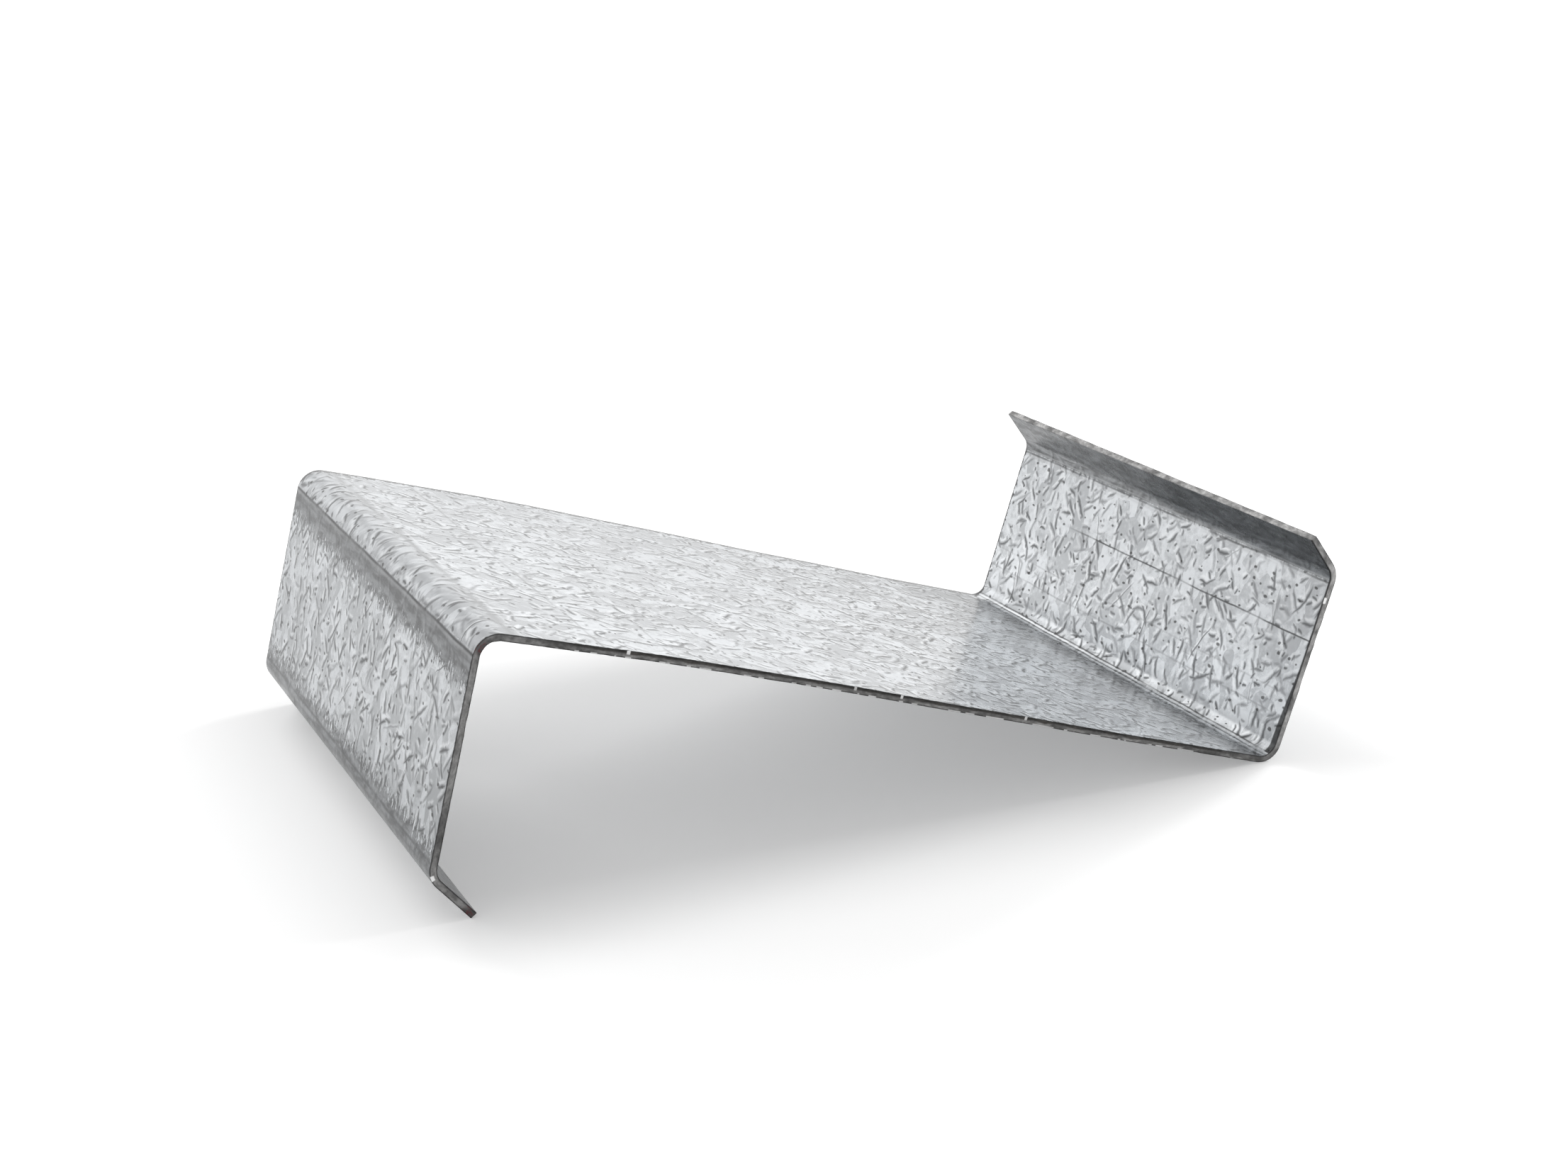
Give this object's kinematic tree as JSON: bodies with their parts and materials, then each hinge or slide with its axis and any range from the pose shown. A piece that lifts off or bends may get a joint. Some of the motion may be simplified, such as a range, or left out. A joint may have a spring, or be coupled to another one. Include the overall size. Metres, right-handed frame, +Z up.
{
  "type": "z purlin",
  "caption": "Short length of Z-section roof or wall purlin in galvanised steel: a deep web with a wide flange down, a narrow flange up, and a slanted stiffening lip on each.",
  "frame": {"origin": "the middle of the footprint's box, on the level floor that the piece lies on", "axes": "+Y along the stock's length, +X across the section from the wide flange to the narrow flange, +Z up as the piece lies unheld on its wide lip's edge and the narrow flange's bend"},
  "size_m": [0.2708, 0.168, 0.0732],
  "materials": {
    "galvanised_steel": "hot-dip galvanised with fine feathery spangle, darker roll bands along the folds, dull sheared edges"
  },
  "bodies": {
    "root": {"z_purlin": "galvanised_steel"}
  },
  "joints": []
}
